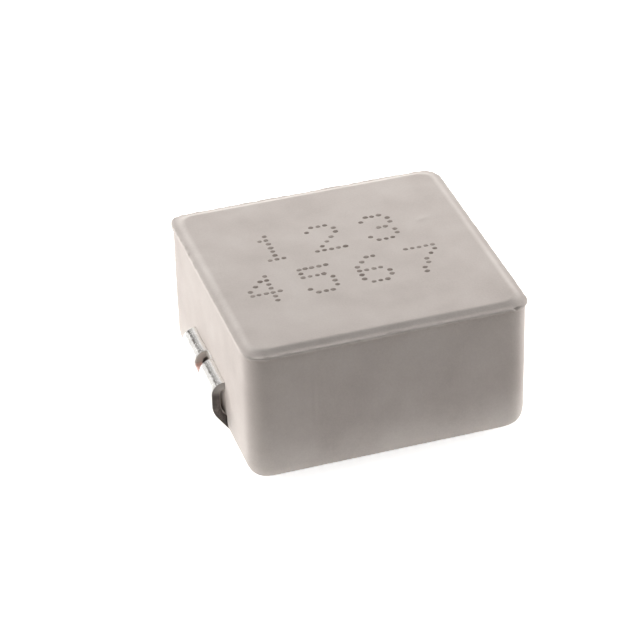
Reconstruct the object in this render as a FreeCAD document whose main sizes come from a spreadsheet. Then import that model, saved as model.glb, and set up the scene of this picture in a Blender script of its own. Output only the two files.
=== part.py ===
"""Moulded power inductor for surface mounting, about 11.7 x 10.3 x 5.8 mm.

A square block of pressed iron powder holds a coil of flat copper wire wound on edge.
Each end of the coil lies on a metal strip that leaves the block, folds down its wall
and turns under its base. X runs from strip to strip, the origin is at the middle of
the solder faces, and +Z is up. Lengths are in millimetres.
"""
import FreeCAD, Part
import math
import os
import Sketcher

SIZES = (
    ("coil_bore", 4.2, "inside diameter of the coil"),
    ("wire_width", 1.6, "flat wire, across the coil"),
    ("wire_thickness", 0.34, "flat wire, along the coil's axis"),
    ("turn_gap", 0.08, "enamel and powder between two turns"),
    ("turn_count", 8, "whole turns, so that both ends leave on the same side"),
    ("lead_bend", 0.16, "inside radius of the bends in a lead"),
    ("lead_clearance", 0.12, "from the coil's outline to a lead's first bend"),
    ("mould_gap", 0.03, "between the powder and the wire"),
    ("end_wall", 1.65, "powder between the coil and a wall that a strip leaves"),
    ("side_wall", 1.45, "powder between the coil and a plain wall"),
    ("cover_below", 1.0, "powder between the coil and the base"),
    ("cover_above", 1.0, "powder between the coil and the top"),
    ("corner_radius", 0.7, "upright corners of the block"),
    ("base_radius", 0.66, "round along the base edges"),
    ("bevel_drop", 0.12, "height of the bevel round the top"),
    ("bevel_inset", 0.36, "width of the bevel round the top"),
    ("ridge_proud", 0.04, "parting ridge, out from the wall"),
    ("ridge_width", 0.09, "parting ridge, across"),
    ("ridge_height", 0.1, "parting ridge, along the wall"),
    ("ridge_rise", 0.03, "parting ridge above the bevel's foot"),
    ("stand_off", 0.1, "base of the block above the solder faces"),
    ("strip_thickness", 0.35, "terminal strip"),
    ("strip_width", 3.9, "terminal strip"),
    ("exit_height", 2.55, "middle of the strip where it leaves the wall"),
    ("exit_reach", 0.03, "straight run of the strip outside the wall"),
    ("upper_bend", 0.14, "inside radius of the upper fold"),
    ("upright_foot", 1.75, "lower end of the strip's upright run"),
    ("slope_angle", 35, "degrees by which the strip's lower run leans in"),
    ("middle_bend", 0.65, "inside radius between the upright and the lower run"),
    ("lower_bend", 0.45, "inside radius where the strip turns under the base"),
    ("pad_end", 2.6, "inner end of a solder face, from the middle"),
    ("pad_chamfer", 0.3, "clipped corners of a solder face"),
    ("window_width", 0.6, "window between the strip's two legs"),
    ("window_drop", 0.055, "window below the end of the upper fold"),
    ("recess_gap", 0.1, "between a strip's edges and its recess in the base"),
    ("ear_gap", 0.5, "between the coil and a terminal's inner tab"),
    ("ear_wall", 0.45, "powder between the wall and a tab's ear"),
    ("ear_margin", 0.08, "ear beyond the edge of the wire that lies on it"),
)

MEAN_RADIUS = "(Sizes.coil_bore + Sizes.wire_width) / 2"
INNER_RADIUS = "Sizes.coil_bore / 2"
OUTER_RADIUS = "(Sizes.coil_bore / 2 + Sizes.wire_width)"
WIRE_HALF = "Sizes.wire_thickness / 2"
PITCH = "(Sizes.wire_thickness + Sizes.turn_gap)"
TURNS = "round(Sizes.turn_count)"
BASE = "Sizes.stand_off"
FIRST_TURN = f"({BASE} + Sizes.cover_below + {WIRE_HALF})"
LAST_TURN = f"({FIRST_TURN} + {TURNS} * {PITCH})"
TOP = f"({LAST_TURN} + {WIRE_HALF} + Sizes.cover_above)"
BEVEL_FOOT = f"({TOP} - Sizes.bevel_drop)"
HALF_LENGTH = f"({OUTER_RADIUS} + Sizes.end_wall)"
HALF_WIDTH = f"({OUTER_RADIUS} + Sizes.side_wall)"
STRIP_HALF = "Sizes.strip_thickness / 2"
UPRIGHT = f"({HALF_LENGTH} + Sizes.exit_reach + Sizes.upper_bend + {STRIP_HALF})"
UPRIGHT_TOP = f"(Sizes.exit_height - Sizes.upper_bend - {STRIP_HALF})"
TAB_END = f"({OUTER_RADIUS} + Sizes.ear_gap)"
EAR_OUTSIDE = f"({HALF_LENGTH} - Sizes.ear_wall)"
EAR_EDGE = f"({OUTER_RADIUS} + Sizes.ear_margin)"
LEAD_DIP = f"(sqrt(({OUTER_RADIUS})^2 - ({INNER_RADIUS})^2) + Sizes.lead_clearance)"
LEAD_LEVEL = f"({TAB_END} - Sizes.mould_gap)"
LEAD_END = f"({EAR_OUTSIDE} - Sizes.ear_margin)"
LOWER_SEAT = f"(Sizes.exit_height - {STRIP_HALF} - {WIRE_HALF})"
UPPER_SEAT = f"(Sizes.exit_height + {STRIP_HALF} + {WIRE_HALF})"
OUTSIDE = f"({UPRIGHT} + 2 * Sizes.base_radius)"  # clear of the block's base edge
SIDES = (("left", -1), ("right", 1))
CLOSE = 1e-6


def make_sheet(doc):
    sheet = doc.addObject("Spreadsheet::Sheet", "Sizes")
    for row, (alias, size, note) in enumerate(SIZES, start=1):
        sheet.set(f"A{row}", alias)
        sheet.set(f"B{row}", str(size))
        sheet.set(f"C{row}", note)
        sheet.setAlias(f"B{row}", alias)
    doc.recompute()


def number(item, expression):
    value = item.Document.getObject("Sizes").evalExpression(expression)
    return float(getattr(value, "Value", value))


def new_sketch(body, name, role, offset="0"):
    """A sketch on one of the body's own origin planes, moved along its normal."""
    sketch = body.newObject("Sketcher::SketchObject", name)
    plane = next(o for o in body.Origin.OriginFeatures if o.Role == role)
    sketch.AttachmentSupport = (plane, [""])
    sketch.MapMode = "FlatFace"
    sketch.setExpression("AttachmentOffset.Base.z", offset)
    return sketch


def bind(sketch, constraint, expression):
    index = sketch.addConstraint(constraint)
    label = f"size{index}"
    sketch.renameConstraint(index, label)
    sketch.setExpression(f"Constraints.{label}", expression)


def pin(sketch, geometry, point, across, up):
    """Holds a point of the sketch at two sizes from the sketch's origin."""
    spot = sketch.getPoint(geometry, point)
    bind(sketch, Sketcher.Constraint("DistanceX", -1, 1, geometry, point, spot.x), across)
    bind(sketch, Sketcher.Constraint("DistanceY", -1, 1, geometry, point, spot.y), up)


def polygon(sketch, corners):
    """A closed outline of straight lines through corners given as expressions."""
    spots = [FreeCAD.Vector(number(sketch, a), number(sketch, b), 0) for a, b in corners]
    lines = [sketch.addGeometry(Part.LineSegment(spots[i - 1], spot), False)
             for i, spot in enumerate(spots)]
    for before, after in zip(lines, lines[1:] + lines[:1]):
        sketch.addConstraint(Sketcher.Constraint("Coincident", before, 2, after, 1))
    for line, (across, up) in zip(lines, corners):
        pin(sketch, line, 2, across, up)


def rectangle(sketch, left, right, bottom, top):
    polygon(sketch, [(left, bottom), (right, bottom), (right, top), (left, top)])


def add_arc(sketch, centre, start, end):
    """A short arc; returns its index and the point numbers of start and end."""
    radius = (start - centre).Length
    first = math.atan2(start.y - centre.y, start.x - centre.x)
    last = math.atan2(end.y - centre.y, end.x - centre.x)
    circle = Part.Circle(centre, FreeCAD.Vector(0, 0, 1), radius)
    anticlockwise = (last - first) % (2 * math.pi) < math.pi
    if not anticlockwise:
        first, last = last, first
    arc = sketch.addGeometry(Part.ArcOfCircle(circle, first, last), False)
    return (arc, 1, 2) if anticlockwise else (arc, 2, 1)


def chain(sketch, spots, centres, closed=False):
    """Lines and arcs in turn, each tangent to the next; spots are their meeting points."""
    pieces = []
    stretches = list(zip(spots, spots[1:] + spots[:1] if closed else spots[1:]))
    for i, (start, end) in enumerate(stretches):
        if i % 2:
            pieces.append(add_arc(sketch, centres[i // 2], start, end))
        else:
            pieces.append((sketch.addGeometry(Part.LineSegment(start, end), False), 1, 2))
    followers = pieces[1:] + pieces[:1] if closed else pieces[1:]
    for (one, _, one_end), (two, two_start, _) in zip(pieces, followers):
        sketch.addConstraint(Sketcher.Constraint("Tangent", one, one_end, two, two_start))
    return pieces


def rounded_outline(sketch, half_x, half_y, radius):
    """A rectangle about the origin with equal round corners."""
    x, y, r = (number(sketch, e) for e in (half_x, half_y, radius))
    spots, centres = [], []
    for turn, (along, across) in enumerate(((x, y), (y, x), (x, y), (y, x))):
        spin = FreeCAD.Rotation(FreeCAD.Vector(0, 0, 1), 90 * turn)
        spots += [spin * FreeCAD.Vector(r - along, -across, 0),
                  spin * FreeCAD.Vector(along - r, -across, 0)]
        centres.append(spin * FreeCAD.Vector(along - r, r - across, 0))
    pieces = chain(sketch, spots, centres, closed=True)
    for index, level in ((0, "Horizontal"), (2, "Vertical"), (4, "Horizontal"), (6, "Vertical")):
        sketch.addConstraint(Sketcher.Constraint(level, pieces[index][0]))
    for arc in pieces[1::2]:
        bind(sketch, Sketcher.Constraint("Radius", arc[0], r), radius)
    edges = (("DistanceY", 0, f"-{half_y}"), ("DistanceX", 2, half_x),
             ("DistanceY", 4, half_y), ("DistanceX", 6, f"-{half_x}"))
    for axis, index, size in edges:
        line = pieces[index][0]
        spot = sketch.getPoint(line, 1)
        now = spot.x if axis == "DistanceX" else spot.y
        bind(sketch, Sketcher.Constraint(axis, -1, 1, line, 1, now), size)


def strip_path(sketch, side, end, from_wall=True):
    """Middle line of a strip: out of the wall, down, leaning in, then under the base.

    Without from_wall it starts at the upper end of the upright run.
    """
    sign = "-" if side < 0 else ""
    radii = [f"(Sizes.{bend} + {STRIP_HALF})" for bend in ("upper_bend", "middle_bend", "lower_bend")]
    lean = "cos(Sizes.slope_angle * 1deg)"
    lower_top = f"({UPRIGHT} - {radii[1]} * (1 - {lean}))"

    r_up, r_mid, r_low = (number(sketch, radius) for radius in radii)
    x_up, z_exit = number(sketch, UPRIGHT), number(sketch, "Sizes.exit_height")
    z_foot, z_pad = number(sketch, "Sizes.upright_foot"), number(sketch, STRIP_HALF)
    angle = math.radians(number(sketch, "Sizes.slope_angle"))
    sine, cosine = math.sin(angle), math.cos(angle)
    x_mid, z_mid = x_up - r_mid * (1 - cosine), z_foot - r_mid * sine
    run = (z_mid - z_pad - r_low * (1 - sine)) / cosine
    x_low = x_mid - run * sine - r_low * cosine

    def spot(x, z):
        return FreeCAD.Vector(side * x, z, 0)

    spots = [spot(number(sketch, HALF_LENGTH), z_exit), spot(x_up - r_up, z_exit),
             spot(x_up, z_exit - r_up), spot(x_up, z_foot), spot(x_mid, z_mid),
             spot(x_mid - run * sine, z_mid - run * cosine), spot(x_low, z_pad),
             spot(number(sketch, end), z_pad)]
    centres = [spot(x_up - r_up, z_exit - r_up), spot(x_up - r_mid, z_foot),
               spot(x_low, z_pad + r_low)]
    if from_wall:
        pieces = chain(sketch, spots, centres)
        fold = pieces[1][0]
        sketch.addConstraint(Sketcher.Constraint("Horizontal", pieces[0][0]))
        pin(sketch, pieces[0][0], 1, sign + HALF_LENGTH, "Sizes.exit_height")
        bind(sketch, Sketcher.Constraint("Radius", fold, r_up), radii[0])
    else:
        pieces = chain(sketch, spots[2:], centres[1:])
        top = Sketcher.Constraint("DistanceY", -1, 1, pieces[0][0], 1, spots[2].y)
        bind(sketch, top, UPRIGHT_TOP)
    upright, middle, slope, lower, pad = (piece[0] for piece in pieces[-5:])
    sketch.addConstraint(Sketcher.Constraint("Vertical", upright))
    sketch.addConstraint(Sketcher.Constraint("Horizontal", pad))
    bind(sketch, Sketcher.Constraint("Radius", middle, r_mid), radii[1])
    bind(sketch, Sketcher.Constraint("Radius", lower, r_low), radii[2])
    pin(sketch, upright, 2, sign + UPRIGHT, "Sizes.upright_foot")
    pin(sketch, pad, 2, sign + end, STRIP_HALF)
    now = sketch.getPoint(slope, 1).x
    bind(sketch, Sketcher.Constraint("DistanceX", -1, 1, slope, 1, now), sign + lower_top)


def lead_path(sketch, side, level, seat):
    """Middle line of a lead: straight off the coil, a steep run, then flat on the ear."""
    sign = "-" if side < 0 else ""
    radius = f"(Sizes.lead_bend + {WIRE_HALF})"
    r, z_start, z_seat = (number(sketch, e) for e in (radius, level, seat))
    x_dip, x_level, x_end = (number(sketch, e) for e in (LEAD_DIP, LEAD_LEVEL, LEAD_END))
    rise = 1 if z_seat > z_start else -1
    across, climb = x_level - x_dip, abs(z_seat - z_start) - 2 * r
    angle = math.atan2(climb, across) + math.asin(2 * r / math.hypot(across, climb))
    sine, cosine = math.sin(angle), math.cos(angle)

    def spot(x, z):
        return FreeCAD.Vector(side * x, z, 0)

    spots = [spot(0, z_start), spot(x_dip, z_start),
             spot(x_dip + r * sine, z_start + rise * r * (1 - cosine)),
             spot(x_level - r * sine, z_seat - rise * r * (1 - cosine)),
             spot(x_level, z_seat), spot(x_end, z_seat)]
    centres = [spot(x_dip, z_start + rise * r), spot(x_level, z_seat - rise * r)]
    pieces = chain(sketch, spots, centres)
    for index in (0, 4):
        sketch.addConstraint(Sketcher.Constraint("Horizontal", pieces[index][0]))
    for index in (1, 3):
        bind(sketch, Sketcher.Constraint("Radius", pieces[index][0], r), radius)
    pin(sketch, pieces[0][0], 1, "0", level)
    pin(sketch, pieces[4][0], 2, sign + LEAD_END, seat)
    for line, point, size in ((0, 2, LEAD_DIP), (4, 1, LEAD_LEVEL)):
        now = sketch.getPoint(pieces[line][0], point).x
        limit = Sketcher.Constraint("DistanceX", -1, 1, pieces[line][0], point, now)
        bind(sketch, limit, sign + size)


def wire_section(sketch, level, gap="0"):
    """The flat wire where it crosses the YZ plane, with an even gap round it."""
    rectangle(sketch, f"-{OUTER_RADIUS} - {gap}", f"-{INNER_RADIUS} + {gap}",
              f"{level} - {WIRE_HALF} - {gap}", f"{level} + {WIRE_HALF} + {gap}")


def tab_outline(sketch, side):
    """The flat tab inside the block, with an ear that reaches under or over the lead."""
    sign = "-" if side < 0 else ""
    half = "Sizes.strip_width / 2"
    polygon(sketch, [(sign + TAB_END, f"-{EAR_EDGE}"), (sign + EAR_OUTSIDE, f"-{EAR_EDGE}"),
                     (sign + EAR_OUTSIDE, f"-{half}"), (sign + HALF_LENGTH, f"-{half}"),
                     (sign + HALF_LENGTH, half), (sign + TAB_END, half)])


def feature(body, kind, name, profile, **sizes):
    """A feature of the body made from a sketch; text values are bound to the sheet."""
    made = body.newObject(f"PartDesign::{kind}", name)
    made.Profile = profile
    for key, value in sizes.items():
        if key in ("Length", "Pitch", "Turns"):
            made.setExpression(key, value)
        else:
            setattr(made, key, value)
    return made


def rework(body, kind, name, base, edges, **sizes):
    """A fillet or chamfer on the chosen edges of an earlier feature."""
    made = body.newObject(f"PartDesign::{kind}", name)
    made.Base = (base, edges)
    for key, value in sizes.items():
        if key in ("Radius", "Size", "Size2"):
            made.setExpression(key, value)
        else:
            setattr(made, key, value)
    return made


def level_edges(shape, height):
    """Names of the edges that lie wholly at one height."""
    return [f"Edge{i}" for i, edge in enumerate(shape.Edges, start=1)
            if all(abs(vertex.Z - height) < CLOSE for vertex in edge.Vertexes)]


def upright_edges(shape, x):
    """Names of the edges that stand upright at one place along X."""
    return [f"Edge{i}" for i, edge in enumerate(shape.Edges, start=1)
            if all(abs(vertex.X - x) < CLOSE for vertex in edge.Vertexes)
            and abs(edge.tangentAt(edge.FirstParameter).z) > 1 - CLOSE]


def new_body(doc, name):
    body = doc.addObject("PartDesign::Body", name)
    body.Label = name
    return body


def make_block(doc):
    """The pressed block: its outside form, then the room for coil, leads and strips."""
    body = new_body(doc, "moulded_body")
    outline = new_sketch(body, "block_outline", "XY_Plane", BASE)
    rounded_outline(outline, HALF_LENGTH, HALF_WIDTH, "Sizes.corner_radius")
    block = feature(body, "Pad", "block", outline, Length=f"{TOP} - {BASE}")
    doc.recompute()

    bevel = rework(body, "Chamfer", "top_bevel", block,
                   level_edges(block.Shape, number(body, TOP)), ChamferType="Two distances",
                   Size="Sizes.bevel_drop", Size2="Sizes.bevel_inset")
    doc.recompute()
    rounded = rework(body, "Fillet", "base_round", bevel,
                     level_edges(bevel.Shape, number(body, BASE)), Radius="Sizes.base_radius")

    ridge = new_sketch(body, "ridge_outline", "XY_Plane",
                       f"{BEVEL_FOOT} + Sizes.ridge_rise - Sizes.ridge_height")
    for edge in ("Sizes.ridge_proud", "(Sizes.ridge_proud - Sizes.ridge_width)"):
        rounded_outline(ridge, f"({HALF_LENGTH} + {edge})", f"({HALF_WIDTH} + {edge})",
                        f"(Sizes.corner_radius + {edge})")
    feature(body, "Pad", "parting_ridge", ridge, Length="Sizes.ridge_height")

    chamber = new_sketch(body, "coil_section", "XZ_Plane")
    rectangle(chamber, f"{INNER_RADIUS} - Sizes.mould_gap", f"{OUTER_RADIUS} + Sizes.mould_gap",
              f"{FIRST_TURN} - {WIRE_HALF} - Sizes.mould_gap",
              f"{LAST_TURN} + {WIRE_HALF} + Sizes.mould_gap")
    feature(body, "Groove", "coil_room", chamber, ReferenceAxis=(chamber, ["V_Axis"]), Angle=360)

    for (name, side), level, seat in zip(SIDES, (FIRST_TURN, LAST_TURN), (LOWER_SEAT, UPPER_SEAT)):
        tab = new_sketch(body, f"{name}_tab_outline", "XY_Plane", "Sizes.exit_height")
        tab_outline(tab, side)
        feature(body, "Pocket", f"{name}_tab_room", tab, Length="Sizes.strip_thickness",
                SideType="Symmetric")

        run = new_sketch(body, f"{name}_lead_line", "XZ_Plane", MEAN_RADIUS)
        lead_path(run, side, level, seat)
        section = new_sketch(body, f"{name}_lead_section", "YZ_Plane")
        wire_section(section, level, "Sizes.mould_gap")
        feature(body, "SubtractivePipe", f"{name}_lead_room", section, Spine=run)

        add_recess(body, name, side)
    return body


def add_recess(body, name, side):
    """Room in the base and its edge for the folded strip, open to the outside."""
    sign = "-" if side < 0 else ""
    line = new_sketch(body, f"{name}_recess_line", "XZ_Plane")
    strip_path(line, side, "(Sizes.pad_end - Sizes.recess_gap)", from_wall=False)
    section = new_sketch(body, f"{name}_recess_section", "XY_Plane", UPRIGHT_TOP)
    half = "(Sizes.strip_width / 2 + Sizes.recess_gap)"
    rectangle(section, f"{sign}({UPRIGHT} - {STRIP_HALF})", sign + OUTSIDE, f"-{half}", half)
    feature(body, "SubtractivePipe", f"{name}_recess", section, Spine=line)


def make_winding(doc):
    """Flat wire on edge: a helix of whole turns with a lead at each end."""
    body = new_body(doc, "winding")
    turn = new_sketch(body, "turn_section", "YZ_Plane")
    wire_section(turn, FIRST_TURN)
    feature(body, "AdditiveHelix", "turns", turn, ReferenceAxis=(turn, ["V_Axis"]),
            Mode="pitch-turns-angle", Pitch=PITCH, Turns=TURNS, Angle=0)
    doc.recompute()
    for (name, side), level, seat in zip(SIDES, (FIRST_TURN, LAST_TURN), (LOWER_SEAT, UPPER_SEAT)):
        run = new_sketch(body, f"{name}_lead_line", "XZ_Plane", MEAN_RADIUS)
        lead_path(run, side, level, seat)
        section = new_sketch(body, f"{name}_lead_section", "YZ_Plane")
        wire_section(section, level)
        feature(body, "AdditivePipe", f"{name}_lead", section, Spine=run)
    return body


def make_terminal(doc, name, side):
    """One strip: a tab in the block, two legs round a window, and a solder face."""
    body = new_body(doc, f"{name}_terminal")
    tab = new_sketch(body, "tab_outline", "XY_Plane", "Sizes.exit_height")
    tab_outline(tab, side)
    feature(body, "Pad", "tab", tab, Length="Sizes.strip_thickness", SideType="Symmetric")

    half = "Sizes.strip_width / 2"
    wall = f"-{HALF_LENGTH}" if side < 0 else HALF_LENGTH
    line = new_sketch(body, "strip_line", "XZ_Plane")
    strip_path(line, side, "Sizes.pad_end")
    section = new_sketch(body, "strip_section", "YZ_Plane", wall)
    rectangle(section, f"-{half}", half, f"Sizes.exit_height - {STRIP_HALF}",
              f"Sizes.exit_height + {STRIP_HALF}")
    feature(body, "AdditivePipe", "folded_strip", section, Spine=line)

    window = new_sketch(body, "window_outline", "YZ_Plane", wall)
    rectangle(window, "-Sizes.window_width / 2", "Sizes.window_width / 2",
              f"{UPRIGHT_TOP} - Sizes.window_drop", "Sizes.exit_height + Sizes.strip_thickness")
    cut = feature(body, "Pocket", "window", window, Reversed=side > 0,
                  Length=f"{UPRIGHT} + Sizes.strip_thickness - {HALF_LENGTH}")
    doc.recompute()
    pad_end = side * number(body, "Sizes.pad_end")
    rework(body, "Chamfer", "clipped_corners", cut, upright_edges(cut.Shape, pad_end),
           Size="Sizes.pad_chamfer")
    return body


def report_faults(doc):
    faults = [item.Name for item in doc.Objects if {"Invalid", "Error"} & set(item.State)]
    if faults:
        raise RuntimeError(f"these objects failed: {', '.join(faults)}")


def main():
    doc = FreeCAD.newDocument("Inductor")
    make_sheet(doc)
    bodies = [make_block(doc), make_winding(doc)]
    bodies += [make_terminal(doc, name, side) for name, side in SIDES]
    doc.recompute()
    report_faults(doc)
    for body in bodies:
        shape = body.Shape
        if shape.isNull() or not shape.isValid() or len(shape.Solids) != 1:
            raise RuntimeError(f"{body.Label} is not one valid solid")
    os.makedirs("parts", exist_ok=True)
    for body in bodies:
        body.Shape.exportStep(f"parts/{body.Label}.step")
        print(f"{body.Label}: {body.Shape.Volume:.2f} mm3")


main()
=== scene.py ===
import math

import bmesh
import bpy
from mathutils import Matrix, Vector, noise


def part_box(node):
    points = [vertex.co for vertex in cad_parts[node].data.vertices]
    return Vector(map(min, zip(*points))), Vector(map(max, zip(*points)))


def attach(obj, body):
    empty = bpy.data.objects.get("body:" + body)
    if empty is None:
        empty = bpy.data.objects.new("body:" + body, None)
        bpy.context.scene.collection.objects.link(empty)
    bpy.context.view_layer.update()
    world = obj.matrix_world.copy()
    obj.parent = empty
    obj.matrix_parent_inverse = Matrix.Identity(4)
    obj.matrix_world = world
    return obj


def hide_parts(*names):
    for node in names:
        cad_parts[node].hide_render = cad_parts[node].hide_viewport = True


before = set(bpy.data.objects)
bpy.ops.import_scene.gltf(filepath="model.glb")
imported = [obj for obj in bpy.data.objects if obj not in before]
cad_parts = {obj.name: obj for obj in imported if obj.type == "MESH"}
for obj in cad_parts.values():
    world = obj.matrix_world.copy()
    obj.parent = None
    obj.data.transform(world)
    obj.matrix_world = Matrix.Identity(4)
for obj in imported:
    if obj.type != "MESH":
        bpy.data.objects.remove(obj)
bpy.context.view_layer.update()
mm = 0.001  # sizes below are in millimetres, Blender works in metres
print("frame loaded:", ", ".join(sorted(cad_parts)))


def farCorner(node):
    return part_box(node)[1] / mm


def bell(distance, width):
    return math.exp(-(distance / width) ** 2)


def blendStep(value, start, end):
    share = min(1.0, max(0.0, (value - start) / (end - start)))
    return share * share * (3 - 2 * share)


def ripple(waves, x, y=0.0, z=0.0):
    # smooth noise: waves holds its rate along x, y and z, a place in the noise and its height
    rate, start, height = waves
    place = Vector((x * rate[0] + start[0], y * rate[1] + start[1], z * rate[2] + start[2]))
    return height * noise.noise(place)


def makeObject(name, vertices, faces):
    mesh = bpy.data.meshes.new(name)
    mesh.from_pydata([Vector(v) * mm for v in vertices], [], faces)
    mesh.validate()
    obj = bpy.data.objects.new(name, mesh)
    bpy.context.scene.collection.objects.link(obj)
    return obj


def addValues(obj, name, values):
    # one value at each vertex, for the materials
    obj.data.attributes.new(name, "FLOAT", "POINT").data.foreach_set("value", values)


def applyModifiers(obj):
    graph = bpy.context.evaluated_depsgraph_get()
    solved = bpy.data.meshes.new_from_object(obj.evaluated_get(graph))
    obj.modifiers.clear()
    obj.data = solved


def shadeSmooth(obj, angle):
    obj.data.shade_smooth()
    obj.data.set_sharp_from_angle(angle=math.radians(angle))


# folded strip: the middle line runs out of the wall, down, leans in and turns under the base
strip = {
    "thickness": 0.35,
    "width": 3.9,
    "exitHeight": 2.55,
    "wallReach": 0.03,    # straight run outside the wall
    "bends": (0.14, 0.65, 0.45),    # inside radii: upper, middle, lower
    "uprightFoot": 1.75,
    "lean": 35,    # degrees
    "padEnd": 2.6,    # from the part's middle
    "padClip": 0.3,    # clipped corners
    "windowWidth": 0.6,
    "windowFoot": 2.18,
    "tabDepth": 1.15,    # flat tab in the block
    "earEdge": 3.78,
    "earDepth": 0.45,    # powder between the ear and the wall
    "edgeRound": 0.045,
    "roundFrom": 50,    # degrees between faces
    "smoothTo": 30,    # degrees between faces
    "gridStep": 0.075,
    # waves in the sheet: rate for each millimetre and side, place in the noise, height
    "softWave": ((1.1, 0.9, 3.0), (0, 0, 0), 0.008),
    "fineWave": ((2.8, 3.3, 6.0), (0, 0, 0), 0.003),
    "waveStart": 0.12,    # they come in over this run outside the wall
    "darkBandShare": 0.36,    # where on the upper bend the dark band lies: crazed plating and a painted dark reflection
    "darkBandWidth": 0.06,
    "windowBright": (0.06, 0.3),    # painted light on the cut faces ends between these distances from the window
    "bendBright": (0.5, 1.3),    # and between these shares of the upper bend
    "bendShine": 0.3,    # how much painted light the cut face has there
    "bareDrop": 0.03,    # bare copper lies this far under the window's foot
    "bareWidth": 0.05,
}
upperRadius = strip["bends"][0] + strip["thickness"] / 2    # of the middle line
bendLength = upperRadius * math.pi / 2


def stripRuns(wallX):
    half = strip["thickness"] / 2
    upper, middle, lower = (inside + half for inside in strip["bends"])
    lean = math.radians(strip["lean"])
    uprightX = wallX + strip["wallReach"] + upper
    middleX = uprightX - middle * (1 - math.cos(lean))
    middleZ = strip["uprightFoot"] - middle * math.sin(lean)
    slope = (middleZ - half - lower * (1 - math.sin(lean))) / math.cos(lean)
    lowerX = middleX - slope * math.sin(lean) - lower * math.cos(lean)
    return (
        ("line", strip["wallReach"], 0),
        ("arc", upper, math.pi / 2),
        ("line", strip["exitHeight"] - upper - strip["uprightFoot"], 0),
        ("arc", middle, lean),
        ("line", slope, 0),
        ("arc", lower, math.pi / 2 - lean),
        ("line", lowerX - strip["padEnd"], 0),
    )


def bendPoint(along, across, lift, runs, wallX, side):
    # along: flat length from the wall; lift: off the middle line, outwards
    heading = 0.0
    x, z, left = wallX, strip["exitHeight"], along
    if along < 0:
        return side * (x + along), across, z + lift
    for kind, size, turn in runs:
        length = size if kind == "line" else size * turn
        used = min(left, length)
        if kind == "line":
            x += used * math.cos(heading)
            z -= used * math.sin(heading)
        else:
            swing = used / size
            x += size * (math.sin(heading + swing) - math.sin(heading))
            z += size * (math.cos(heading + swing) - math.cos(heading))
            heading += swing
        left -= used
        if left <= 1e-9:
            break
    return side * (x + lift * math.sin(heading)), across, z + lift * math.cos(heading)


def runLength(runs):
    return sum(size if kind == "line" else size * turn for kind, size, turn in runs)


def gridLines(marks, step):
    lines = [marks[0]]
    for start, end in zip(marks, marks[1:]):
        count = max(1, math.ceil((end - start) / step))
        lines += [start + (end - start) * k / count for k in range(1, count + 1)]
    return lines


def flatStrip(runs):
    half, clip = strip["width"] / 2, strip["padClip"]
    window = strip["windowWidth"] / 2
    total = runLength(runs)
    windowEnd = (strip["wallReach"] + bendLength
                 + (strip["exitHeight"] - upperRadius - strip["windowFoot"]))
    tab, ear = strip["tabDepth"], strip["earDepth"]
    alongs = gridLines([-tab, -ear, 0, windowEnd, total - clip, total], strip["gridStep"])
    acrosses = gridLines([-strip["earEdge"], -half, -window, window, half], strip["gridStep"] * 2)

    def solid(along, across):
        if across < -half:
            return along < -ear
        return not (abs(across) < window and 0 < along < windowEnd)

    def place(along, across):
        # the pad's corners are clipped
        reach = half - max(0.0, along - (total - clip))
        if abs(across) <= half:
            across *= reach / half
        return along, across

    bottom, top, faces, vertices = {}, {}, [], []

    def corner(i, j, level):
        table = top if level > 0 else bottom
        if (i, j) not in table:
            table[(i, j)] = len(vertices)
            vertices.append((*place(alongs[i], acrosses[j]), level * strip["thickness"] / 2))
        return table[(i, j)]

    cells = {(i, j) for i in range(len(alongs) - 1) for j in range(len(acrosses) - 1)
             if solid((alongs[i] + alongs[i + 1]) / 2, (acrosses[j] + acrosses[j + 1]) / 2)}
    for i, j in sorted(cells):
        ring = ((i, j), (i + 1, j), (i + 1, j + 1), (i, j + 1))
        faces.append([corner(a, b, 1) for a, b in ring])
        faces.append([corner(a, b, -1) for a, b in reversed(ring)])
        neighbours = ((i, j - 1), (i + 1, j), (i, j + 1), (i - 1, j))
        for k, beside in enumerate(neighbours):
            if beside not in cells:
                a, b = ring[k], ring[(k + 1) % 4]
                faces.append([corner(*b, 1), corner(*a, 1), corner(*a, -1), corner(*b, -1)])
    return vertices, faces


def stripValues(along, across, lift, height):
    # a dark band on the outside of the bend, crazed plating and a painted dark reflection; painted light on
    # the cut faces in the window and on the upper bend; bare copper at the window's foot
    darkBandLine = strip["wallReach"] + bendLength * strip["darkBandShare"]
    darkBand = bell(along - darkBandLine, strip["darkBandWidth"]) if lift > 0 else 0.0
    inWindow = 1 - blendStep(abs(across) - strip["windowWidth"] / 2, *strip["windowBright"])
    onBend = 1 - blendStep(along, *(bendLength * share for share in strip["bendBright"]))
    cutLight = max(inWindow, strip["bendShine"] * onBend)
    bare = inWindow * bell(height - strip["windowFoot"] + strip["bareDrop"], strip["bareWidth"])
    return darkBand, cutLight, bare


def makeTerminal(name, side, wallX):
    runs = stripRuns(wallX)
    obj = makeObject(name + "_strip", *flatStrip(runs))
    edges = obj.modifiers.new("edges", "BEVEL")
    edges.width = strip["edgeRound"] * mm
    edges.segments = 3
    edges.limit_method = "ANGLE"
    edges.angle_limit = math.radians(strip["roundFrom"])
    applyModifiers(obj)
    mesh = obj.data
    for face in mesh.polygons:
        face.material_index = 1 if abs(face.normal.z) < 0.5 else 0    # 1 is the sheared edge
    values = {"bendCrazeAndPaintedReflection": [], "paintedCutLight": [], "bareCopper": []}
    for vertex in mesh.vertices:
        along, across, lift = vertex.co / mm
        wave = ripple(strip["softWave"], along, across, side) + ripple(strip["fineWave"], along, across, side)
        dent = abs(wave) * blendStep(along, 0.0, strip["waveStart"])
        point = bendPoint(along, across, lift - dent, runs, wallX, side)
        for key, value in zip(values, stripValues(along, across, lift, point[2])):
            values[key].append(value)
        vertex.co = Vector(point) * mm
    for key, found in values.items():
        addValues(obj, key, found)
    if side < 0:
        mesh.flip_normals()
    shadeSmooth(obj, strip["smoothTo"])
    return obj


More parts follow.
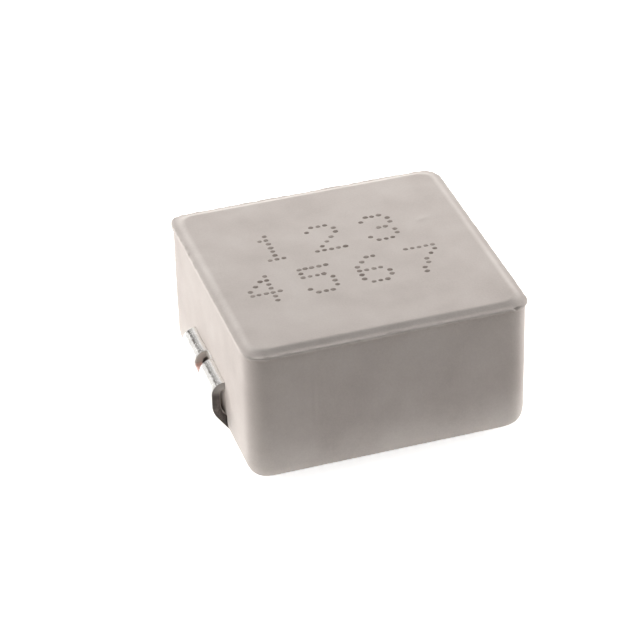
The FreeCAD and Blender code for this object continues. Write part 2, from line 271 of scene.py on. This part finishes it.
# pressed block: rings of points from the middle of the top down to the middle of the base
block = {
    "cornerReach": 1.0,    # corners start this far from the edge and turn in gradually
    "baseReach": 1.2,
    "turnPower": 3.1,    # 2 is a plain arc
    "topTaper": 0.55,    # corners tighten by this share of the inset, on the top
    "baseTaper": 0.62,    # and on the base
    "standOff": 0.1,
    "sideRise": 0.5,    # the rim falls away less on the left than elsewhere
    "riseEnd": (0.14, 0.21),    # drops between which that difference ends
    "lipProud": 0.04,    # mould flash, out from the wall
    "lipInset": 0.01,    # rows further out than this are the flash
    "lipStart": 0.01,    # the flash hangs in full from this far above its first proud row
    "ledgeHang": 0.3,    # share of that above it
    "flashPull": (0.020, 0.012),    # ragged flash: by the wide and by the fine waves
    "flashHang": (0.018, 0.028),
    "grooveFill": 0.030,
    "nickWidth": 0.09,
    "paintedFootLight": 1.3,    # painted light: the coat is made lighter towards the base, standing in for light thrown up from the table
    "footLightTop": 2.6,    # height at which that begins
    "reliefInset": 0.2,    # the top's relief fades out towards this inset
    "reliefRings": 4,    # the wall's relief comes in over these rings
    # relief: rate for each millimetre along x, y and z, place in the noise, height
    "topSoft": ((0.35, 0.35, 0), (0, 0, 7), 0.006),
    "topFine": ((1.7, 1.7, 0), (0, 0, 2), 0.0015),
    "wallSoft": ((0.45, 0.45, 0.45), (0, 0, 0), 0.012),
    "wallFine": ((1.6, 1.6, 0.8), (9, 0, 0), 0.004),
    "flashWide": ((1.3, 1.3, 0), (0, 0, 11), 1),
    "flashFine": ((4.5, 4.5, 0), (0, 0, 5), 1),
    "sideSteps": (146, 138),
    "cornerSteps": 26,
    "topRings": 34,
    "wallRings": 34,
    "baseSteps": 14,
    "underRings": 9,
    "smoothTo": 32,    # degrees between faces
}

# top edge, from the flat face out and down: inset from the wall, drop below the top,
# share of the flash's raggedness, wear of the coat
topEdge = (
    (0.45, 0.000, 0.0, 0.0),
    (0.42, 0.001, 0.0, 0.1),
    (0.39, 0.004, 0.0, 0.3),
    (0.36, 0.010, 0.0, 0.4),
    (0.33, 0.019, 0.0, 0.5),
    (0.30, 0.031, 0.0, 0.6),
    (0.27, 0.045, 0.0, 0.6),
    (0.24, 0.059, 0.0, 0.6),
    (0.21, 0.072, 0.0, 0.5),
    (0.18, 0.085, 0.1, 0.4),
    (0.15, 0.097, 0.2, 0.2),
    (0.12, 0.107, 0.3, 0.1),
    (0.09, 0.115, 0.5, 0.0),
    (0.06, 0.121, 0.7, 0.0),
    (0.03, 0.126, 0.9, 0.1),
    (0.00, 0.131, 1.0, 0.2),
    (-0.024, 0.137, 1.0, 0.4),
    (-0.043, 0.149, 1.0, 0.5),
    (-0.055, 0.169, 1.0, 0.5),
    (-0.059, 0.195, 1.0, 0.4),
    (-0.055, 0.218, 1.0, 0.2),
    (-0.038, 0.236, 1.0, 0.0),
    (-0.010, 0.247, 1.0, 0.0),
    (0.016, 0.257, 0.9, 0.0),
    (0.031, 0.272, 0.7, 0.0),
    (0.033, 0.297, 0.5, 0.0),
    (0.022, 0.339, 0.2, 0.0),
    (0.012, 0.385, 0.0, 0.0),
)


def softCorner(share):
    # a quarter turn that starts and ends gradually: place on it and its outward direction
    angle = math.radians(90 * share)
    power = block["turnPower"]
    across, up = math.cos(angle), math.sin(angle)
    size = (across ** power + up ** power) ** (-1 / power)
    out = Vector((across ** (power - 1), up ** (power - 1))).normalized()
    return Vector((across * size, up * size)), out


def ringPoints(halfX, halfY, reach):
    # even points round a rectangle with soft corners, each with its outward direction
    points = []
    for corner in range(4):
        signX = (1, -1, -1, 1)[corner]
        signY = (1, 1, -1, -1)[corner]
        centre = Vector((signX * (halfX - reach), signY * (halfY - reach)))
        turned = Matrix.Rotation(math.radians(90 * corner), 2)
        for k in range(block["cornerSteps"]):
            place, out = softCorner(k / block["cornerSteps"])
            points.append((centre + turned @ place * reach, turned @ out))
        out = turned @ Vector((0, 1))
        ahead = turned @ Vector((-1, 0))
        run = 2 * ((halfX if corner % 2 == 0 else halfY) - reach)
        steps = block["sideSteps"][corner % 2]
        for k in range(steps):
            points.append((centre + out * reach + ahead * run * k / steps, out))
    return points


def blockRing(halves, inset, taper, share=1.0):
    # a ring inset from the walls, then drawn in to a share of its size
    reach = block["cornerReach"] - block[taper] * inset
    return ringPoints((halves[0] - inset) * share, (halves[1] - inset) * share, reach * share)


# marks that the photo shows: place on the top face or on the front wall, size and height
topMarks = (
    {"at": (3.56, 1.57), "size": (0.17, 0.15), "height": 0.030},
    {"at": (-3.20, 4.38), "size": (0.60, 0.10), "height": -0.010},
    {"at": (-4.66, 0.57), "size": (0.30, 0.06), "height": 0.008},
)
frontMarks = (
    {"at": (-2.45, 3.10), "size": (0.30, 0.36), "height": 0.022},
    {"at": (2.43, 3.02), "size": (0.26, 0.24), "height": 0.014},
    {"at": (-2.90, 3.85), "size": (0.07, 1.55), "height": 0.012},
    {"at": (1.30, 0.85), "size": (0.30, 0.10), "height": 0.012},
)
# places along the front where the flash hangs lower, and by how much
flashNicks = ((-4.65, 0.05), (4.72, 0.06), (3.42, 0.03), (1.76, 0.03), (-1.4, 0.02))


def markHeight(marks, across, up):
    total = 0.0
    for mark in marks:
        (x, y), (wide, tall) = mark["at"], mark["size"]
        total += mark["height"] * math.exp(-((across - x) / wide) ** 2 - ((up - y) / tall) ** 2)
    return total


def topRelief(x, y):
    return ripple(block["topSoft"], x, y) + ripple(block["topFine"], x, y) + markHeight(topMarks, x, y)


def wallRelief(x, y, z, out):
    front = markHeight(frontMarks, x, z) if out.y < -0.5 else 0.0
    return ripple(block["wallSoft"], x, y, z) + ripple(block["wallFine"], x, y, z) + front


def flashShift(x, y):
    # the flash is ragged: it stands out more or less, hangs down in places
    # and fills the groove under it in others
    wide, fine = ripple(block["flashWide"], x, y), ripple(block["flashFine"], x, y)
    proud = -block["flashPull"][0] * abs(wide) - block["flashPull"][1] * abs(fine)
    hang = block["flashHang"][0] * wide + block["flashHang"][1] * fine
    groove = block["grooveFill"] * (wide + fine)
    if y < 0:
        for place, depth in flashNicks:
            hang += depth * bell(x - place, block["nickWidth"])
    return proud, hang, groove


# painted light: how much lighter the coat is made near the base, for light thrown up from the table
def paintedFootLight(z):
    return block["paintedFootLight"] * blendStep(z, block["footLightTop"], block["standOff"])


# each of the next five functions returns rings with how much lighter the coat is on them: rub on the top
# edge, and painted light from the table towards the base
def topRings(height, halves):
    rings = []
    for k in range(1, block["topRings"] + 1):
        points = blockRing(halves, topEdge[0][0], "topTaper", k / block["topRings"])
        rings.append(([(p.x, p.y, height + topRelief(p.x, p.y)) for p, out in points], 0.0))
    return rings


def edgeRings(height, halves):
    plateau, fadeEnd = topEdge[0][0], block["reliefInset"]
    lipDrops = [drop for inset, drop, *rest in topEdge if inset < 0]
    lipTop, lipFoot = min(lipDrops) - block["lipStart"], max(lipDrops)
    rings = []
    for inset, drop, ragged, coatLightening in topEdge[1:]:
        sideRise = block["sideRise"] * (1 - blendStep(drop, *block["riseEnd"]))
        hangShare = 1 if drop > lipTop else block["ledgeHang"]
        ring = []
        for p, out in blockRing(halves, inset, "topTaper"):
            proud, hang, groove = flashShift(p.x, p.y)
            shift = proud * ragged if inset < block["lipInset"] else 0.0
            if inset > block["lipInset"] and drop > lipFoot:
                shift = groove * ragged
            level = height - drop * (1 - sideRise * min(out.x, 0) ** 2) - hang * ragged * hangShare
            if inset > fadeEnd:
                level += topRelief(p.x, p.y) * (inset - fadeEnd) / (plateau - fadeEnd)
            ring.append((p.x + out.x * shift, p.y + out.y * shift, level))
        rings.append((ring, coatLightening))
    return rings


def wallRings(height, halves):
    inward, drop, *rest = topEdge[-1]
    wallTop, wallFoot = height - drop, block["standOff"] + block["baseReach"]
    points = blockRing(halves, 0.0, "topTaper")
    rings = []
    for k in range(1, block["wallRings"] + 1):
        z = wallTop + (wallFoot - wallTop) * k / block["wallRings"]
        fade = min(1.0, k / block["reliefRings"])
        ring = []
        for p, out in points:
            lift = wallRelief(p.x, p.y, z, out) * fade - inward
            ring.append((p.x + out.x * lift, p.y + out.y * lift, z))
        rings.append((ring, paintedFootLight(z)))
    return rings


def baseRings(halves):
    inward = topEdge[-1][0]
    rings = []
    for k in range(1, block["baseSteps"] + 1):
        share = k / block["baseSteps"]
        place, turn = softCorner(share)
        inset = block["baseReach"] * (1 - place.x)
        z = block["standOff"] + block["baseReach"] * (1 - place.y)
        ring = []
        for p, out in blockRing(halves, inset, "baseTaper"):
            lift = (wallRelief(p.x, p.y, z, out) - inward) * (1 - share)
            ring.append((p.x + out.x * lift, p.y + out.y * lift, z))
        rings.append((ring, paintedFootLight(z)))
    return rings


def underRings(halves):
    rings = []
    for k in range(1, block["underRings"]):
        points = blockRing(halves, block["baseReach"], "baseTaper", 1 - k / block["underRings"])
        rings.append(([(p.x, p.y, block["standOff"]) for p, out in points], 0.0))
    return rings


def makeBlock(high):
    halves = (high.x - block["lipProud"], high.y - block["lipProud"])
    rings = topRings(high.z, halves) + edgeRings(high.z, halves) + wallRings(high.z, halves)
    rings += baseRings(halves) + underRings(halves)
    vertices = [point for ring, coatLightening in rings for point in ring]
    coatLightenings = [coatLightening for ring, coatLightening in rings for point in ring]
    around, faces = len(rings[0][0]), []
    for k in range(len(rings) - 1):
        a, b = k * around, (k + 1) * around
        for i in range(around):
            j = (i + 1) % around
            faces.append((a + i, b + i, b + j, a + j))
    top, under = len(vertices), len(vertices) + 1
    last = (len(rings) - 1) * around
    for i in range(around):
        j = (i + 1) % around
        faces.append((top, i, j))
        faces.append((under, last + j, last + i))
    vertices += [(0, 0, high.z + topRelief(0, 0)), (0, 0, block["standOff"])]
    obj = makeObject("block", vertices, faces)
    addValues(obj, "edgeRubAndFootLight", coatLightenings + [0.0, 0.0])
    return obj


# room for the strips: a recess in the base edge and a thin slot where each strip leaves the wall
recess = {
    "sideGap": 0.1,
    "floorGap": 0.015,
    "reach": 1.4,    # clear of the block
    "slotGap": 0.018,
    "slotDepth": 0.5,
    "slotReach": 0.3,    # clear of the wall
    "step": 0.06,
}


def recessCutter(side, wallX):
    runs = stripRuns(wallX)
    start = strip["wallReach"] + bendLength
    total = runLength(runs) + recess["sideGap"]
    runs = runs[:-1] + (("line", runs[-1][1] + recess["sideGap"], 0),)
    half = strip["width"] / 2 + recess["sideGap"]
    inner, outer = -strip["thickness"] / 2 - recess["floorGap"], recess["reach"]
    stops = gridLines([start, total], recess["step"])
    vertices = []
    for along in stops:
        for across, lift in ((-half, inner), (half, inner), (half, outer), (-half, outer)):
            vertices.append(bendPoint(along, across, lift, runs, wallX, side))
    faces = [(3, 2, 1, 0)]
    for k in range(len(stops) - 1):
        a, b = 4 * k, 4 * k + 4
        faces += [(a + i, a + (i + 1) % 4, b + (i + 1) % 4, b + i) for i in range(4)]
    faces.append(tuple(len(vertices) - 4 + i for i in range(4)))
    return makeObject("recessCutter", vertices, faces)


def slotCutter(side, wallX):
    half = strip["width"] / 2 + recess["slotGap"]
    low = strip["exitHeight"] - strip["thickness"] / 2 - recess["slotGap"]
    high = strip["exitHeight"] + strip["thickness"] / 2 + recess["slotGap"]
    near, far = side * (wallX - recess["slotDepth"]), side * (wallX + recess["slotReach"])
    vertices = [(x, y, z) for x in (near, far) for y in (-half, half) for z in (low, high)]
    faces = [(0, 1, 3, 2), (4, 6, 7, 5), (0, 4, 5, 1), (2, 3, 7, 6), (0, 2, 6, 4), (1, 5, 7, 3)]
    return makeObject("slotCutter", vertices, faces)


def outwardNormals(obj):
    work = bmesh.new()
    work.from_mesh(obj.data)
    bmesh.ops.recalc_face_normals(work, faces=work.faces)
    work.to_mesh(obj.data)
    work.free()


def cutBlock(obj, cutters):
    for cutter in cutters:
        outwardNormals(cutter)
        cut = obj.modifiers.new("cut", "BOOLEAN")
        cut.object = cutter
        cut.operation = "DIFFERENCE"
        cut.solver = "MANIFOLD"
    applyModifiers(obj)
    obj.data.materials.clear()
    for cutter in cutters:
        bpy.data.objects.remove(cutter)
    shadeSmooth(obj, block["smoothTo"])


# printed numbers, in dots, where the part carries its print
printing = {
    "dotPitch": (0.265, 0.277),
    "dotRadius": 0.090,
    "dotStretch": 1.12,    # wider than tall
    "dotHeight": 0.009,
    "dotProfile": ((1.0, -0.003), (0.86, 0.45), (0.5, 0.85)),    # shares of radius and height
    "dotSeat": 0.004,    # its underside lies this far under the face
    "dotSides": 18,
    # how the dots differ: rate for each dot or round its rim, place in the noise, amount
    "shiftAcross": ((0.71, 0, 0), (0, 1.3, 0), 0.030),
    "shiftUp": ((0.83, 0, 0), (0, 7.9, 0), 0.024),
    "growth": ((1.37, 0, 0), (0, 4.2, 0), 0.22),
    "rim": ((1.3, 1.3, 3.1), (0, 0, 0), 0.16),
    "ink": ((0.93, 0, 0), (0, 2.6, 8.0), 0.9),
    "inkMiddle": 0.5,
    # characters, height of the lowest dots, middle of each character
    "rows": (("123", 0.72, (-2.40, -0.29, 1.85)), ("4567", -1.92, (-3.46, -1.36, 0.73, 2.80))),
}
dotDigits = {
    "1": ("..#..", ".##..", "..#..", "..#..", "..#..", "..#..", ".###."),
    "2": (".###.", "#...#", "....#", "...#.", "..#..", ".#...", "#####"),
    "3": (".###.", "#...#", "....#", "..##.", "....#", "#...#", ".###."),
    "4": ("...#.", "..##.", ".#.#.", "#..#.", "#####", "...#.", "...#."),
    "5": ("#####", "#....", "####.", "....#", "....#", "#...#", ".###."),
    "6": ("..##.", ".#...", "#....", "####.", "#...#", "#...#", ".###."),
    "7": ("#####", "....#", "...#.", "..#..", "..#..", ".#...", ".#..."),
}


def dotPlaces():
    pitchX, pitchY = printing["dotPitch"]
    for text, footY, middles in printing["rows"]:
        for digit, middle in zip(text, middles):
            for line, cells in enumerate(dotDigits[digit]):
                for column, cell in enumerate(cells):
                    if cell == "#":
                        yield middle + (column - 2) * pitchX, footY + (6 - line) * pitchY


def dotShape(index, x, y, top):
    # a low cap: rings from the rim up, then the middle of its top and of its underside
    sides, height = printing["dotSides"], printing["dotHeight"]
    x += ripple(printing["shiftAcross"], index)
    y += ripple(printing["shiftUp"], index)
    size = printing["dotRadius"] * (1 + ripple(printing["growth"], index))
    vertices, faces = [], []
    for share, lift in printing["dotProfile"]:
        for k in range(sides):
            across, up = math.cos(2 * math.pi * k / sides), math.sin(2 * math.pi * k / sides)
            reach = size * share * (1 + ripple(printing["rim"], across, up, index))
            px, py = x + reach * across * printing["dotStretch"], y + reach * up
            vertices.append((px, py, top + topRelief(px, py) + lift * height))
    level = top + topRelief(x, y)
    vertices += [(x, y, level + height), (x, y, level - printing["dotSeat"])]
    highest = (len(printing["dotProfile"]) - 1) * sides
    for k in range(sides):
        after = (k + 1) % sides
        for ring in range(0, highest, sides):
            faces.append((ring + k, ring + after, ring + sides + after, ring + sides + k))
        faces.append((highest + k, highest + after, len(vertices) - 2))
        faces.append((after, k, len(vertices) - 1))
    return vertices, faces


def makePrint(top):
    vertices, faces, density = [], [], []
    for index, (x, y) in enumerate(dotPlaces()):
        corners, sides = dotShape(index, x, y, top)
        faces += [[len(vertices) + corner for corner in side] for side in sides]
        vertices += corners
        density += [printing["inkMiddle"] + ripple(printing["ink"], index)] * len(corners)
    obj = makeObject("print", vertices, faces)
    addValues(obj, "inkDensity", density)
    obj.data.shade_smooth()
    return obj


def newMaterial(name):
    material = bpy.data.materials.new(name)
    material.use_nodes = True
    nodes, links = material.node_tree.nodes, material.node_tree.links
    nodes.clear()
    output = nodes.new("ShaderNodeOutputMaterial")
    shader = nodes.new("ShaderNodeBsdfPrincipled")
    links.new(shader.outputs["BSDF"], output.inputs["Surface"])
    return material, nodes, links, shader


def colour(red, green, blue):
    # sRGB of 0 to 255 as Blender's linear colour
    values = [c / 255 for c in (red, green, blue)]
    linear = [c / 12.92 if c <= 0.04045 else ((c + 0.055) / 1.055) ** 2.4 for c in values]
    return (*linear, 1.0)


def grey(level):
    return (level, level, level, 1.0)


def feed(links, source, socket):
    # a socket takes another node's output or a plain value
    if isinstance(source, bpy.types.NodeSocket):
        links.new(source, socket)
    else:
        socket.default_value = source


def addMath(nodes, links, operation, *sources):
    node = nodes.new("ShaderNodeMath")
    node.operation = operation
    for source, socket in zip(sources, node.inputs):
        feed(links, source, socket)
    return node.outputs[0]


def addPointValue(nodes, name):
    node = nodes.new("ShaderNodeAttribute")
    node.attribute_name = name
    return node.outputs["Fac"]


def speckleGroup():
    # soft mottling and fine grain of a given size, used by every finish
    group = bpy.data.node_groups.new("speckle", "ShaderNodeTree")
    for name in ("Cloud Size", "Grain Size", "Cloud Share", "Grain Share"):
        group.interface.new_socket(name, in_out="INPUT", socket_type="NodeSocketFloat")
    for name in ("Mask", "Grain"):
        group.interface.new_socket(name, in_out="OUTPUT", socket_type="NodeSocketFloat")
    nodes, links = group.nodes, group.links
    start, end = nodes.new("NodeGroupInput"), nodes.new("NodeGroupOutput")
    place = nodes.new("ShaderNodeTexCoord")

    def layer(sizeName, detail):
        texture = nodes.new("ShaderNodeTexNoise")
        texture.inputs["Detail"].default_value = detail
        links.new(place.outputs["Object"], texture.inputs["Vector"])
        scale = addMath(nodes, links, "DIVIDE", 1 / mm, start.outputs[sizeName])
        links.new(scale, texture.inputs["Scale"])
        return texture.outputs["Fac"]

    cloud, grain = layer("Cloud Size", 3), layer("Grain Size", 2)
    clouds = addMath(nodes, links, "MULTIPLY", cloud, start.outputs["Cloud Share"])
    mask = addMath(nodes, links, "MULTIPLY_ADD", grain, start.outputs["Grain Share"], clouds)
    links.new(mask, end.inputs["Mask"])
    links.new(grain, end.inputs["Grain"])
    return group


speckle = speckleGroup()


def addSpeckle(nodes, cloudSize, grainSize, cloudShare):
    node = nodes.new("ShaderNodeGroup")
    node.node_tree = speckle
    for name, value in (("Cloud Size", cloudSize), ("Grain Size", grainSize),
                        ("Cloud Share", cloudShare), ("Grain Share", 1 - cloudShare)):
        node.inputs[name].default_value = value
    return node


def addRamp(nodes, links, value, *stops):
    ramp = nodes.new("ShaderNodeValToRGB")
    while len(ramp.color_ramp.elements) < len(stops):
        ramp.color_ramp.elements.new(0.5)
    for element, (position, shade) in zip(ramp.color_ramp.elements, stops):
        element.position = position
        element.color = shade
    links.new(value, ramp.inputs["Fac"])
    return ramp.outputs["Color"]


def addBump(nodes, links, height, depth, shader):
    bump = nodes.new("ShaderNodeBump")
    bump.inputs["Distance"].default_value = depth * mm
    links.new(height, bump.inputs["Height"])
    links.new(bump.outputs["Normal"], shader.inputs["Normal"])


def mixColours(nodes, links, share, first, second):
    mix = nodes.new("ShaderNodeMix")
    mix.data_type = "RGBA"
    links.new(share, mix.inputs["Factor"])
    feed(links, first, mix.inputs["A"])
    feed(links, second, mix.inputs["B"])
    return mix.outputs["Result"]


def greyCoat():
    material, nodes, links, shader = newMaterial("greyCoat")
    tone = addSpeckle(nodes, cloudSize=1.6, grainSize=0.07, cloudShare=0.7)
    base = addRamp(nodes, links, tone.outputs["Mask"],
                   (0.30, colour(190, 181, 175)),
                   (0.50, colour(199, 190, 184)),
                   (0.70, colour(206, 198, 192)))
    # lighter coat: rub on the top edge, and painted light from the table near the base
    coatLightening = addMath(nodes, links, "MULTIPLY", addPointValue(nodes, "edgeRubAndFootLight"), tone.outputs["Mask"])
    coat = mixColours(nodes, links, coatLightening, base, colour(232, 225, 219))
    links.new(coat, shader.inputs["Base Color"])
    shader.inputs["Roughness"].default_value = 0.62
    shader.inputs["Specular IOR Level"].default_value = 0.35
    addBump(nodes, links, tone.outputs["Grain"], 0.004, shader)
    return material


def printInk():
    material, nodes, links, shader = newMaterial("printInk")
    tone = addSpeckle(nodes, cloudSize=0.16, grainSize=0.04, cloudShare=0.5)
    dark = addRamp(nodes, links, tone.outputs["Mask"],
                   (0.32, colour(108, 99, 92)), (0.68, colour(138, 128, 120)))
    faint = addRamp(nodes, links, tone.outputs["Mask"],
                    (0.32, colour(142, 133, 126)), (0.68, colour(168, 159, 152)))
    shade = mixColours(nodes, links, addPointValue(nodes, "inkDensity"), faint, dark)
    links.new(shade, shader.inputs["Base Color"])
    shader.inputs["Roughness"].default_value = 0.7
    shader.inputs["Specular IOR Level"].default_value = 0.2
    addBump(nodes, links, tone.outputs["Grain"], 0.003, shader)
    return material


def tinPlate():
    material, nodes, links, shader = newMaterial("tinPlate")
    tone = addSpeckle(nodes, cloudSize=0.5, grainSize=0.05, cloudShare=0.6)
    plate = addRamp(nodes, links, tone.outputs["Mask"],
                    (0.30, colour(214, 211, 207)), (0.70, colour(244, 242, 239)))
    # the dark band on the bend: crazed plating and a painted dark reflection
    darkBandTone = addSpeckle(nodes, cloudSize=0.4, grainSize=0.11, cloudShare=0.45)
    darkBand = addMath(nodes, links, "MULTIPLY", addPointValue(nodes, "bendCrazeAndPaintedReflection"), darkBandTone.outputs["Mask"])
    share = addRamp(nodes, links, darkBand, (0.34, grey(0)), (0.55, grey(0.9)))
    shade = mixColours(nodes, links, share, plate, colour(118, 110, 104))
    links.new(shade, shader.inputs["Base Color"])
    shader.inputs["Metallic"].default_value = 0.75
    rough = addRamp(nodes, links, tone.outputs["Mask"], (0.3, grey(0.09)), (0.7, grey(0.17)))
    links.new(rough, shader.inputs["Roughness"])
    addBump(nodes, links, tone.outputs["Mask"], 0.006, shader)
    return material


def shearedEdge():
    material, nodes, links, shader = newMaterial("shearedEdge")
    tone = addSpeckle(nodes, cloudSize=0.3, grainSize=0.06, cloudShare=0.6)
    dull = addRamp(nodes, links, tone.outputs["Mask"],
                   (0.30, colour(52, 45, 42)),
                   (0.52, colour(72, 64, 60)),
                   (0.72, colour(112, 102, 95)))
    # painted light: the cut faces are made lighter in the window and on the upper bend
    cut = mixColours(nodes, links, addPointValue(nodes, "paintedCutLight"), dull, colour(206, 202, 196))
    shade = mixColours(nodes, links, addPointValue(nodes, "bareCopper"), cut, colour(244, 190, 178))
    links.new(shade, shader.inputs["Base Color"])
    shader.inputs["Metallic"].default_value = 0.3
    shader.inputs["Roughness"].default_value = 0.5
    addBump(nodes, links, tone.outputs["Mask"], 0.015, shader)
    return material


def enamelledCopper():
    material, nodes, links, shader = newMaterial("enamelledCopper")
    tone = addSpeckle(nodes, cloudSize=1.2, grainSize=0.1, cloudShare=0.7)
    shade = addRamp(nodes, links, tone.outputs["Mask"],
                    (0.30, colour(168, 92, 52)), (0.70, colour(200, 120, 74)))
    links.new(shade, shader.inputs["Base Color"])
    shader.inputs["Metallic"].default_value = 1.0
    shader.inputs["Roughness"].default_value = 0.3
    shader.inputs["Coat Weight"].default_value = 0.6
    addBump(nodes, links, tone.outputs["Grain"], 0.003, shader)
    return material


# pale table and white surroundings, seen by camera, gloss and glass; the world's own light is low
studio = {
    "tableSize": 0.9,    # metres
    "tableColour": (240, 238, 236),
    "tableGlow": 0.80,    # added where the table is seen, so that only the shadow at the object shows
    "worldLight": 0.04,
    # what gloss sees: X of the direction it looks in, and the shade there
    "screens": ((-0.44, 1.0), (-0.40, 0.10), (-0.35, 0.12), (-0.30, 0.40), (-0.14, 0.55), (-0.06, 1.0)),
    "lamps": (
        # name, azimuth from +X, elevation, distance and size in metres, level at the object
        ("left", 125, 15, 0.28, 0.16, 0.48),
        ("leftSide", 180, 13, 0.28, 0.16, 0.43),
        ("leftFront", 230, 15, 0.28, 0.16, 0.01),
        ("right", 2, 10, 0.28, 0.16, 0.48),
        ("rightNear", 350, 15, 0.035, 0.02, 0.48),
        ("back", 110, 26, 0.28, 0.16, 0.88),
        ("backNear", 85, 46, 0.04, 0.03, 0.28),
    ),
    # narrow lamps, on the table before the front wall and in the gap behind the left strip
    "beams": (
        # name, place lit, direction to the lamp, distance and size in metres, level
        ("foot", (0.0, -0.0065, 0.0), (0, 0, 1), 0.03, (0.012, 0.002), 0.72),
        ("gap", (-0.00535, -0.00195, 0.0022), (-0.33, -0.93, 0.15), 0.02, (0.0003, 0.0013), 1.5),
    ),
    "beamSpread": 3,    # degrees
}


def seenMask(nodes, links):
    rays = nodes.new("ShaderNodeLightPath")
    seen = rays.outputs["Is Camera Ray"]
    for name in ("Is Glossy Ray", "Is Transmission Ray"):
        seen = addMath(nodes, links, "MAXIMUM", seen, rays.outputs[name])
    return seen


def makeTable():
    half = studio["tableSize"] / 2 / mm
    corners = [(-half, -half, 0), (half, -half, 0), (half, half, 0), (-half, half, 0)]
    obj = makeObject("table", corners, [(0, 1, 2, 3)])
    material, nodes, links, shader = newMaterial("paleTable")
    shader.inputs["Base Color"].default_value = colour(*studio["tableColour"])
    shader.inputs["Roughness"].default_value = 0.9
    shader.inputs["Specular IOR Level"].default_value = 0.1
    shader.inputs["Emission Color"].default_value = grey(1)
    glow = addMath(nodes, links, "MULTIPLY", seenMask(nodes, links), studio["tableGlow"])
    links.new(glow, shader.inputs["Emission Strength"])
    obj.data.materials.append(material)


def makeWorld():
    world = bpy.data.worlds.new("studio")
    world.use_nodes = True
    nodes, links = world.node_tree.nodes, world.node_tree.links
    nodes.clear()
    light, seen = nodes.new("ShaderNodeBackground"), nodes.new("ShaderNodeBackground")
    light.inputs["Strength"].default_value = studio["worldLight"]
    light.inputs["Color"].default_value = grey(1)
    # gloss sees pale screens with a darker gap between them, the camera sees plain white
    place = nodes.new("ShaderNodeTexCoord")
    parts = nodes.new("ShaderNodeSeparateXYZ")
    links.new(place.outputs["Generated"], parts.inputs["Vector"])
    across = addMath(nodes, links, "MULTIPLY_ADD", parts.outputs["X"], 0.5, 0.5)
    bands = [((x + 1) / 2, grey(shade)) for x, shade in studio["screens"]]
    surroundings = addRamp(nodes, links, across, *bands)
    rays = nodes.new("ShaderNodeLightPath")
    shown = mixColours(nodes, links, rays.outputs["Is Camera Ray"], surroundings, grey(1))
    links.new(shown, seen.inputs["Color"])
    mix = nodes.new("ShaderNodeMixShader")
    links.new(seenMask(nodes, links), mix.inputs["Fac"])
    links.new(light.outputs[0], mix.inputs[1])
    links.new(seen.outputs[0], mix.inputs[2])
    output = nodes.new("ShaderNodeOutputWorld")
    links.new(mix.outputs[0], output.inputs["Surface"])
    bpy.context.scene.world = world


def addLamp(name, place, towards, size, energy):
    light = bpy.data.lights.new(name, "AREA")
    light.shape = "RECTANGLE"
    light.size, light.size_y = size
    light.energy = energy
    lamp = bpy.data.objects.new(name + "Lamp", light)
    lamp.location = place
    lamp.rotation_euler = towards.to_track_quat("Z", "Y").to_euler()
    lamp.visible_glossy = False    # gloss shows the pale surroundings alone
    lamp.visible_camera = False
    bpy.context.scene.collection.objects.link(lamp)
    return light


def makeLamps(aim):
    for name, azimuth, elevation, distance, size, level in studio["lamps"]:
        turn, rise = math.radians(azimuth), math.radians(elevation)
        towards = Vector((math.cos(turn) * math.cos(rise), math.sin(turn) * math.cos(rise), math.sin(rise)))
        energy = level * math.pi ** 2 * distance ** 2
        addLamp(name, aim + towards * distance, towards, (size, size), energy)
    for name, place, direction, distance, size, level in studio["beams"]:
        towards = Vector(direction).normalized()
        energy = level * math.pi * size[0] * size[1]
        light = addLamp(name, Vector(place) + towards * distance, towards, size, energy)
        light.spread = math.radians(studio["beamSpread"])


# camera at the photograph's viewing angle; offsets are pixels of the 640 x 640 picture
view = {
    "azimuth": -17.864,
    "elevation": 33.575,
    "roll": -1.142,
    "distance": 105.961,    # mm from the middle of the block
    "focus": 2829.36,    # pixels
    "offset": (26.428, 2.563),
    "picture": 640,
    "sensor": 36.0,
}


def makeCamera(aim):
    turn, rise, roll = (math.radians(view[key]) for key in ("azimuth", "elevation", "roll"))
    back = Vector((math.sin(turn) * math.cos(rise), -math.cos(turn) * math.cos(rise), math.sin(rise)))
    level = (-back).cross(Vector((0, 0, 1))).normalized()
    up = level.cross(-back)
    across = level * math.cos(roll) + up * math.sin(roll)
    upright = up * math.cos(roll) - level * math.sin(roll)
    camera = bpy.data.cameras.new("camera")
    camera.sensor_width = view["sensor"]
    camera.lens = view["focus"] / view["picture"] * view["sensor"]
    camera.shift_x = -view["offset"][0] / view["picture"]
    camera.shift_y = view["offset"][1] / view["picture"]
    camera.clip_start, camera.clip_end = 0.005, 5.0
    obj = bpy.data.objects.new("camera", camera)
    turned = Matrix((across, upright, back)).transposed().to_4x4()
    obj.matrix_world = Matrix.Translation(aim + back * view["distance"] * mm) @ turned
    bpy.context.scene.collection.objects.link(obj)
    bpy.context.scene.camera = obj


blockEnd = farCorner("moulded_body")
wallX = blockEnd.x - block["lipProud"]
middleHeight = Vector((0, 0, blockEnd.z / 2 * mm))
makeCamera(middleHeight)
makeLamps(middleHeight)
makeWorld()
makeTable()
print("camera, lamps and table made")

coat, ink, tin, edge, copper = greyCoat(), printInk(), tinPlate(), shearedEdge(), enamelledCopper()
body = makeBlock(blockEnd)
cutBlock(body, [cutter(side, wallX) for side in (-1, 1) for cutter in (recessCutter, slotCutter)])
body.data.materials.append(coat)
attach(body, "root")
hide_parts("moulded_body")
print("block made,", len(body.data.polygons), "faces")

for name, side in (("left_terminal", -1), ("right_terminal", 1)):
    terminal = makeTerminal(name, side, wallX)
    for material in (tin, edge):
        terminal.data.materials.append(material)
    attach(terminal, "root")
    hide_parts(name)
    print(terminal.name, "made,", len(terminal.data.polygons), "faces")

numbers = makePrint(blockEnd.z)
numbers.data.materials.append(ink)
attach(numbers, "root")
print("print made,", len(numbers.data.polygons), "faces")

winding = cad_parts["winding"]
winding.data.materials.clear()
winding.data.materials.append(copper)

bpy.context.scene.view_settings.view_transform = "Standard"
print("finished")
